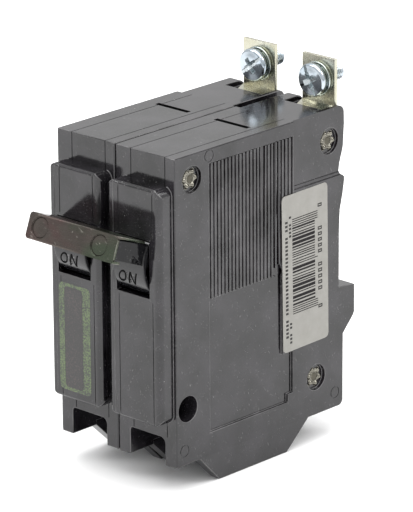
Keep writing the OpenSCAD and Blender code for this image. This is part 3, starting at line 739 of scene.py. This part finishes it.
# ---- line straps: bends rounded, sheared edges bright ----
BEND_R, SHEARED_R = 0.45, 0.1


def is_bend(edge, top):
    """True on an edge straight across the strap, away from its upper end."""
    way = (edge.verts[1].co - edge.verts[0].co) / MM
    across = abs(way.x) > 3 and abs(way.y) < 0.001 and abs(way.z) < 0.001
    return across and edge.verts[0].co.z < top - 1 * MM


for side in SIDES:
    strap = node_bmesh(side + "line_strap")
    strap_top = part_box(side + "line_strap")[1].z
    soften(strap, BEND_R * MM, 3, only=lambda e: is_bend(e, strap_top))
    soften(strap, SHEARED_R * MM, material=1)
    add_piece(side + "line_strap_finished", strap, "root", [plated, plated_edge],
              [side + "line_strap"])


# ---- line screws: pan head with a crossed recess and slot, and a real thread ----
# Y is measured from the strap's face here, where LINE_SCREW lies.
HEAD_R, HEAD_FRONT, HEAD_REAR = 5.4, -4.5, -2.12
HEAD_CHAMFER, HEAD_WALL = 0.15, 0.95
SHOULDER_R = 0.9                                    # the rounding's width between the wall and the crown
CROWN = 0.5                                         # how far the head's middle stands out from its shoulder
CUT_FRONT = -1.5                                    # where the cutters start, from the front of the head
SLOT_HALF, SLOT_DEPTH = 0.7, 0.8
CROSS_LONG, CROSS_HALF, CROSS_DEPTH = 4.0, 1.35, 1.9
SLOT_TIP = (1.0, 0.8)                               # length and width at the floor, as shares of the start's
CROSS_TIP = (0.34, 0.3)
SHANK_R, THREAD_DEPTH, THREAD_PITCH = 2.38, 0.42, 0.794
THREAD_STEPS = 6                                    # rings of vertices in one pitch
THREAD_SIDES, HEAD_SIDES = 40, 96


def thread_r(y, angle, start, end):
    """The thread's radius at a point of the shank: flat crests and roots, run out at both ends."""
    fade = min(1.0, (end - y) / (1.2 * THREAD_PITCH), max(0.0, y - start) / (0.8 * THREAD_PITCH) + 0.15)
    phase = (y / THREAD_PITCH - angle / (2 * math.pi)) % 1.0
    crest = min(1.0, max(0.0, 1.25 - 1.5 * abs(2 * phase - 1)))
    return SHANK_R - THREAD_DEPTH * (1 - crest * fade)


def threaded_shank(start, end, at):
    """A shank with a helical thread, closed at both ends, along Y."""
    bm = bmesh.new()
    rows = int((end - start) / THREAD_PITCH * THREAD_STEPS)
    point = about_y(at)
    rings = turned(bm, [(start + (end - start) * k / rows, SHANK_R) for k in range(rows + 1)],
                   lambda y, r, angle: point(y, thread_r(y, angle, start, end), angle), THREAD_SIDES)
    bm.faces.new(rings[0][::-1])
    bm.faces.new(rings[-1])
    return bm


def cut_recess(bm, long, half, depth, tip, place):
    """Cuts a recess that narrows towards its floor into a head; place moves it from the origin."""
    cutter = bmesh.new()
    for v in block(cutter, (-long, CUT_FRONT, -half), (long, depth, half)):
        if v.co.y > 0:
            v.co.x *= tip[0]
            v.co.z *= tip[1]
    bmesh.ops.transform(cutter, matrix=place, verts=cutter.verts)
    # the recess faces take material 1, the zinc copy with painted glints and shade
    carve(bm, cutter, 1)


def pan_head(at, turn):
    """Domed screw head with a straight slot and a tapered cross over it."""
    rim = HEAD_REAR - HEAD_WALL
    flat_r = HEAD_R - SHOULDER_R
    profile = [(HEAD_REAR, 0.0), (HEAD_REAR, HEAD_R - HEAD_CHAMFER), (HEAD_REAR - HEAD_CHAMFER, HEAD_R),
               (rim, HEAD_R)]
    for i in range(1, 9):
        angle = math.pi / 2 * i / 8
        profile.append((rim - (rim - HEAD_FRONT - CROWN) * math.sin(angle),
                        flat_r + SHOULDER_R * math.cos(angle)))
    profile += [(HEAD_FRONT + CROWN * share ** 2, flat_r * share) for share in (0.75, 0.5, 0.25, 0)]
    bm = bmesh.new()
    turned(bm, [(at.y + y, r) for y, r in profile], about_y(at), HEAD_SIDES)
    spin = Matrix.Translation((at.x, at.y + HEAD_FRONT, at.z)) @ Matrix.Rotation(turn, 4, "Y")
    cut_recess(bm, HEAD_R + 1, SLOT_HALF, SLOT_DEPTH, SLOT_TIP, spin)
    for quarter in (0, math.pi / 2):
        cut_recess(bm, CROSS_LONG, CROSS_HALF, CROSS_DEPTH, CROSS_TIP,
                   spin @ Matrix.Rotation(quarter, 4, "Y"))
    return bm


def join(bm, other):
    """Adds another mesh to bm."""
    mesh = bpy.data.meshes.new("join")
    other.to_mesh(mesh)
    other.free()
    bm.from_mesh(mesh)
    bpy.data.meshes.remove(mesh)


for side, turn in (("left_", math.radians(-38)), ("right_", math.radians(62))):
    screw = pan_head(LINE_SCREW, turn)
    tip = (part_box(side + "line_screw")[1].y - CASE_ORIGIN_Y) / MM
    join(screw, threaded_shank(LINE_SCREW.y + HEAD_REAR - 0.05, tip, LINE_SCREW))
    add_piece(side + "line_screw_finished", shift(screw, side), side + "line_screw",
              [zinc, recess_zinc_painted_light], [side + "line_screw"])


# ---- washers: a split spring washer and a rounded flat washer ----
WASHER_HOLE_R = 2.5
LOCK_FRONT, LOCK_REAR, LOCK_R = -2.0, -1.14, 4.6
LOCK_GAP, LOCK_GAP_AT, LOCK_LIFT = 9, 70, 0.14      # the gap in degrees, its place and how far its ends part
FLAT_FRONT, FLAT_REAR, FLAT_R = -1.0, -0.04, 5.6
LOCK_RIM, FLAT_RIM = 0.12, 0.18                     # how far their edges are rounded
LOCK_STEPS = 72


def split_washer(at):
    """A washer cut through once, its ends sprung apart."""
    bm = bmesh.new()
    rim = LOCK_RIM
    section = [(LOCK_FRONT + rim, WASHER_HOLE_R), (LOCK_FRONT, WASHER_HOLE_R + rim),
               (LOCK_FRONT, LOCK_R - rim), (LOCK_FRONT + rim, LOCK_R),
               (LOCK_REAR - rim, LOCK_R), (LOCK_REAR, LOCK_R - rim),
               (LOCK_REAR, WASHER_HOLE_R + rim), (LOCK_REAR - rim, WASHER_HOLE_R)]
    rings = []
    for k in range(LOCK_STEPS + 1):
        share = k / LOCK_STEPS
        angle = math.radians(LOCK_GAP_AT + LOCK_GAP / 2 + share * (360 - LOCK_GAP))
        rings.append([bm.verts.new(about_y(at)(at.y + y + LOCK_LIFT * (share - 0.5), r, angle))
                      for y, r in section])
    bridge_all(bm, rings)
    bm.faces.new(rings[0])
    bm.faces.new(rings[-1][::-1])
    return bm


def flat_washer(at):
    """A punched washer, more rounded on its front."""
    bm = bmesh.new()
    rim = FLAT_RIM
    section = [(FLAT_FRONT + rim, WASHER_HOLE_R), (FLAT_FRONT, WASHER_HOLE_R + rim),
               (FLAT_FRONT, FLAT_R - 2 * rim), (FLAT_FRONT + 0.4 * rim, FLAT_R - 0.6 * rim),
               (FLAT_FRONT + 1.4 * rim, FLAT_R), (FLAT_REAR - rim, FLAT_R), (FLAT_REAR, FLAT_R - rim),
               (FLAT_REAR, WASHER_HOLE_R + rim), (FLAT_REAR - rim, WASHER_HOLE_R)]
    turned(bm, [(at.y + y, r) for y, r in section], about_y(at), HEAD_SIDES, close=True)
    return bm


for side in SIDES:
    for node, washer in (("line_lock_washer", split_washer(LINE_SCREW)),
                         ("line_washer", flat_washer(LINE_SCREW))):
        add_piece(side + node + "_finished", shift(washer, side), side + "line_washers",
                  [washer_zinc], [side + node])


# ---- rivets: round heads on the left, crimped petals on the right ----
# Y and Z of each rivet, and whether it stands where the case is narrower.
RIVETS = ((7.6, 92.4, False), (71.4, 89.9, True), (64.6, 12.7, False))
RIVET_HEAD_R, RIVET_SHANK_R, RIVET_SIDES = 3.4, 1.6, 64
PETALS, CRIMP_SIDES = 6, 144
DISC_R, GROOVE_R, FOLDS_FROM_R, CRIMP_R = 1.35, 1.62, 2.0, 3.55
CRIMP_RINGS = (0.0, 0.7, DISC_R, GROOVE_R, 1.8, 2.05, 2.35, 2.65, 2.95, 3.2, 3.42, CRIMP_R)
CRIMP_FOOT = 0.3        # how far the crimped end goes down past its lowest point in view


def crimp(bm, x_low, x_high, centre_yz, turn):
    """A flat disc ringed by folded petals, standing on x_low and reaching x_high."""
    depth = x_high - x_low

    def wave(angle):
        """1 along the middle of a petal and 0 between two."""
        return 0.5 + 0.5 * math.cos(PETALS * angle + turn)

    def height(r, angle):
        if r <= DISC_R:
            return x_low + depth * 0.45
        if r <= GROOVE_R:
            return x_low + depth * 0.25
        share = (r - GROOVE_R) / (CRIMP_R - GROOVE_R)
        fold = math.sin(math.pi * min(1.0, share * 1.15)) ** 0.6
        return x_low + depth * (0.12 + 0.88 * fold * (0.15 + 0.85 * wave(angle) ** 0.8))

    def vert(r, angle, x):
        reach = r - max(0.0, r - FOLDS_FROM_R) * 0.62 * (1 - wave(angle))
        return bm.verts.new(about_x(*centre_yz)(x, reach, angle))

    angles = [2 * math.pi * i / CRIMP_SIDES for i in range(CRIMP_SIDES)]
    rings = [[vert(r, angle, height(r, angle)) for angle in (angles if r > 0 else [0.0])]
             for r in CRIMP_RINGS]
    rings.append([vert(CRIMP_R, angle, x_low - CRIMP_FOOT) for angle in angles])
    # the recessed middle within DISC_R takes the darker painted shade material
    for r, a, b in zip(CRIMP_RINGS, rings, rings[1:]):
        for face in bridge(bm, a, b):
            face.material_index = 1 if r < DISC_R else 0
    bm.faces.new(rings[-1][::-1])


def rivet_body(bm, x0, x1, centre_yz):
    """Shank with a rounded, dished head on its left end."""
    r = RIVET_HEAD_R
    profile = [(x0 + 0.55, 0.0), (x0 + 0.45, 1.2), (x0, 1.5), (x0, r - 0.5), (x0 + 0.15, r - 0.15),
               (x0 + 0.4, r), (x0 + 1.0, r), (x0 + 1.0, RIVET_SHANK_R), (x1, RIVET_SHANK_R), (x1, 0.0)]
    turned(bm, profile, about_x(*centre_yz), RIVET_SIDES)


rivets = bmesh.new()
case_right = (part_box("right_base")[1].x - POLE_X["left_"]) / MM
for index, (y, z, narrower) in enumerate(RIVETS):
    head_x = 2.4 if narrower else 0.4
    crimp_x = case_right - (1.1 if narrower else 0.45)
    rivet_body(rivets, head_x, crimp_x - 0.8, (y, z))
    crimp(rivets, crimp_x - 0.9, crimp_x, (y, z), 0.7 * index)
add_piece("case_rivets_finished", shift(rivets, "left_"), "root", [rivet_metal, rivet_centre_shade],
          ["case_rivets"])


# ---- rating label: rounded sheet with printed bars, no lettering ----
LABEL_Y, LABEL_Z, LABEL_ROUND = (48.5, 69.9), (25.0, 77.1), 1.5
LABEL_BACK, LABEL_FACE = POLE_W + 0.01, POLE_W + 0.16
LABEL_TILT = Matrix.Rotation(math.radians(0.9), 4, "X")
ROUND_STEPS = 8                         # edges in a round corner
INK_SUNK, INK = 0.002, 0.012            # how far the print lies below the paper's face, and above it
BAR_Y, BAR_Z = (53.2, 63.8), (37.0, 68.6)
GUARD_W, GUARD_GAP, GUARD_LONGER = 0.30, 0.42, 1.3
BAR_WIDTHS, BAR_GAPS = (0.34, 0.34, 0.62, 0.62, 1.0), (0.36, 0.36, 0.62)
DASH_FILL = 0.62                        # a dash's share of its step
# Y span, Z span, step and the share of the dashes that are there.
DASH_ROWS = (((49.9, 51.1), (27.0, 70.0), 1.32, 0.9), ((51.7, 52.7), (27.5, 36.0), 1.25, 0.95),
             ((51.7, 52.7), (63.0, 71.0), 1.25, 0.95))
BOX_Y, BOX_LINE = (65.2, 67.1), 0.42
# Z span and number of boxes.
BOX_ROWS = (((42.0, 52.0), 5), ((54.5, 64.0), 5), ((36.0, 37.9), 1), ((69.8, 71.7), 1))


def flat_shape(bm, outline, x0, x1):
    """A thin solid over a (y, z) outline."""
    prism(bm, [bm.verts.new((x0, *p)) for p in outline], [bm.verts.new((x1, *p)) for p in outline])


def rounded_outline(across, up, r):
    """The outline of a rectangle with round corners, from its spans across and up."""
    points = []
    for mid_across, mid_up, start in ((across[1] - r, up[1] - r, 0), (across[0] + r, up[1] - r, 90),
                                      (across[0] + r, up[0] + r, 180), (across[1] - r, up[0] + r, 270)):
        for i in range(ROUND_STEPS + 1):
            angle = math.radians(start + 90 * i / ROUND_STEPS)
            points.append((mid_across + r * math.cos(angle), mid_up + r * math.sin(angle)))
    return points


def on_label(bm):
    """Turns a mesh with the label and moves it to the right pole."""
    middle = Vector((0, sum(LABEL_Y) / 2, sum(LABEL_Z) / 2))
    turn = Matrix.Translation(middle) @ LABEL_TILT @ Matrix.Translation(-middle)
    bmesh.ops.transform(bm, matrix=turn, verts=bm.verts)
    return shift(bm, "right_")


def printed(bm, y, z):
    """A printed rectangle over a Y span and a Z span."""
    flat_shape(bm, [(y[0], z[0]), (y[1], z[0]), (y[1], z[1]), (y[0], z[1])],
               LABEL_FACE - INK_SUNK, LABEL_FACE + INK)


def bars(bm):
    """Bars of random widths, with thin longer ones at both ends and in the middle."""
    z = BAR_Z[0]
    while z < BAR_Z[1]:
        guard = z < BAR_Z[0] + 2.4 or z > BAR_Z[1] - 2.6 or abs(z - sum(BAR_Z) / 2) < 0.7
        width = GUARD_W if guard else dice.choice(BAR_WIDTHS)
        printed(bm, (BAR_Y[0], BAR_Y[1] + (GUARD_LONGER if guard else 0.0)), (z, z + width))
        z += width + (GUARD_GAP if guard else dice.choice(BAR_GAPS))


def dash_row(bm, y, z, step, share):
    """Plain dashes in place of small print, along Z."""
    at = z[0]
    while at + step <= z[1]:
        if dice.random() < share:
            printed(bm, y, (at, at + step * dice.uniform(0.85, 1.0) * DASH_FILL))
        at += step


def box_row(bm, y, z, count):
    """Open boxes in place of figures, along Z."""
    step = (z[1] - z[0]) / count
    for k in range(count):
        low = z[0] + k * step
        high = low + 0.62 * step
        between = (low + BOX_LINE, high - BOX_LINE)
        for y_span, z_span in ((y, (low, low + BOX_LINE)), (y, (high - BOX_LINE, high)),
                               ((y[0], y[0] + BOX_LINE), between), ((y[1] - BOX_LINE, y[1]), between)):
            printed(bm, y_span, z_span)


label = bmesh.new()
flat_shape(label, rounded_outline(LABEL_Y, LABEL_Z, LABEL_ROUND), LABEL_BACK, LABEL_FACE)
face_edges = [e for e in label.edges if all(abs(v.co.x - LABEL_FACE) < 1e-6 for v in e.verts)]
bmesh.ops.bevel(label, geom=face_edges, offset=0.06, segments=2, profile=0.5, affect="EDGES")
add_piece("rating_label_finished", on_label(label), "root", [label_paper], ["rating_label"])

dice = random.Random(11)
label_bars = bmesh.new()
bars(label_bars)
add_piece("label_bars", on_label(label_bars), "root", [label_ink])

label_marks = bmesh.new()
for y, z, step, share in DASH_ROWS:
    dash_row(label_marks, y, z, step, share)
for z, count in BOX_ROWS:
    box_row(label_marks, BOX_Y, z, count)
add_piece("label_marks", on_label(label_marks), "root", [faded_ink])


# ---- print on the left escutcheon: a plain green frame round a faded field ----
FRAME_X, FRAME_Z, FRAME_ROUND = (5.6, 19.2), (17.5, 53.0), 1.6
WINDOW_X, WINDOW_Z, WINDOW_ROUND = (7.9, 15.9), (18.5, 51.9), 1.3
WINDOW_GAP = 0.05
PRINT_BACK, PRINT_FRONT = ESC_FRONT + 0.002, ESC_FRONT - 0.015


def film(bm, outer, inner=None):
    """A film on the escutcheon's face over an (x, z) outline, with an opening if inner is given."""
    low, high = ([bm.verts.new((x, y, z)) for x, z in outer] for y in (PRINT_BACK, PRINT_FRONT))
    if not inner:
        prism(bm, low, high)
        return
    inner_high, inner_low = ([bm.verts.new((x, y, z)) for x, z in inner] for y in (PRINT_FRONT, PRINT_BACK))
    bridge_all(bm, [low, high, inner_high, inner_low], close=True)


frame_print = bmesh.new()
film(frame_print, rounded_outline(FRAME_X, FRAME_Z, FRAME_ROUND),
     rounded_outline(WINDOW_X, WINDOW_Z, WINDOW_ROUND))
add_piece("left_cover_print_frame", shift(frame_print, "left_"), "root", [green_print])
window = bmesh.new()
film(window, rounded_outline((WINDOW_X[0] + WINDOW_GAP, WINDOW_X[1] - WINDOW_GAP),
                             (WINDOW_Z[0] + WINDOW_GAP, WINDOW_Z[1] - WINDOW_GAP),
                             WINDOW_ROUND - WINDOW_GAP))
add_piece("left_cover_print_window", shift(window, "left_"), "root", [red_haze])


# ---- mechanism and load terminal: how far each piece's edges are rounded ----
EDGE_WIDTHS = {
    "fixed_contact": 0.15, "moving_contact": 0.15, "contact_arm": 0.15, "cradle": 0.12, "cradle_pin": 0.15,
    "armature": 0.12, "armature_pin": 0.1, "bimetal": 0.12, "magnet_yoke": 0.2, "load_strap": 0.15,
    "load_lug": 0.25, "load_clamp": 0.15, "load_screw": 0.2, "arc_plates": 0.12, "arc_frame": 0.12,
    "calibration_screw": 0.15, "toggle_spring": 0.02, "braid": 0.3}
TRIP_BAR_EDGE = 0.2

for side in SIDES:
    for part, width in EDGE_WIDTHS.items():
        refined(side + part, width * MM)
refined("trip_bar", TRIP_BAR_EDGE * MM)


# ---- floor and light ----
FLOOR_HALF = 4.0
SKY_LOW, SKY_HIGH = 0.85, 1.45      # the sky's strength at the horizon and straight up

floor_mesh = bpy.data.meshes.new("floor")
floor_mesh.from_pydata([(x * FLOOR_HALF, y * FLOOR_HALF, 0) for x, y in ((-1, -1), (1, -1), (1, 1), (-1, 1))],
                       [], [(0, 1, 2, 3)])
floor = bpy.data.objects.new("floor", floor_mesh)
bpy.context.scene.collection.objects.link(floor)
floor_paper = Material("floor_paper", Roughness=0.9)
floor_paper.set(Base_Color=floor_paper.mix(floor_paper.noise(3.0), (0.93, 0.93, 0.93), (0.90, 0.90, 0.90)))
floor_mesh.materials.append(floor_paper.mat)

world = bpy.data.worlds.new("studio")
bpy.context.scene.world = world
world.use_nodes = True
sky = world.node_tree.nodes["Background"]
sky.inputs["Color"].default_value = (1.0, 1.0, 1.0, 1.0)
direction = world.node_tree.nodes.new("ShaderNodeTexCoord").outputs["Generated"]
height = world.node_tree.nodes.new("ShaderNodeSeparateXYZ")
brightness = world.node_tree.nodes.new("ShaderNodeMapRange")
brightness.inputs["To Min"].default_value, brightness.inputs["To Max"].default_value = SKY_LOW, SKY_HIGH
world.node_tree.links.new(direction, height.inputs[0])
world.node_tree.links.new(height.outputs["Z"], brightness.inputs["Value"])
world.node_tree.links.new(brightness.outputs["Result"], sky.inputs["Strength"])


def softbox(name, at, size, power):
    """A square white area light that faces the object."""
    light = bpy.data.lights.new(name, "AREA")
    light.size, light.energy = size, power
    lamp = bpy.data.objects.new(name, light)
    bpy.context.scene.collection.objects.link(lamp)
    lamp.location = at
    lamp.rotation_mode = "QUATERNION"
    lamp.rotation_quaternion = (centre - Vector(at)).to_track_quat("-Z", "Y")


softbox("overhead", (0.1, -0.3, 1.6), 1.6, 24)
softbox("key", (-0.9, -1.0, 1.1), 0.5, 6)
softbox("rim", (0.9, 0.7, 1.0), 0.5, 6)
bpy.context.scene.view_settings.view_transform = "Standard"
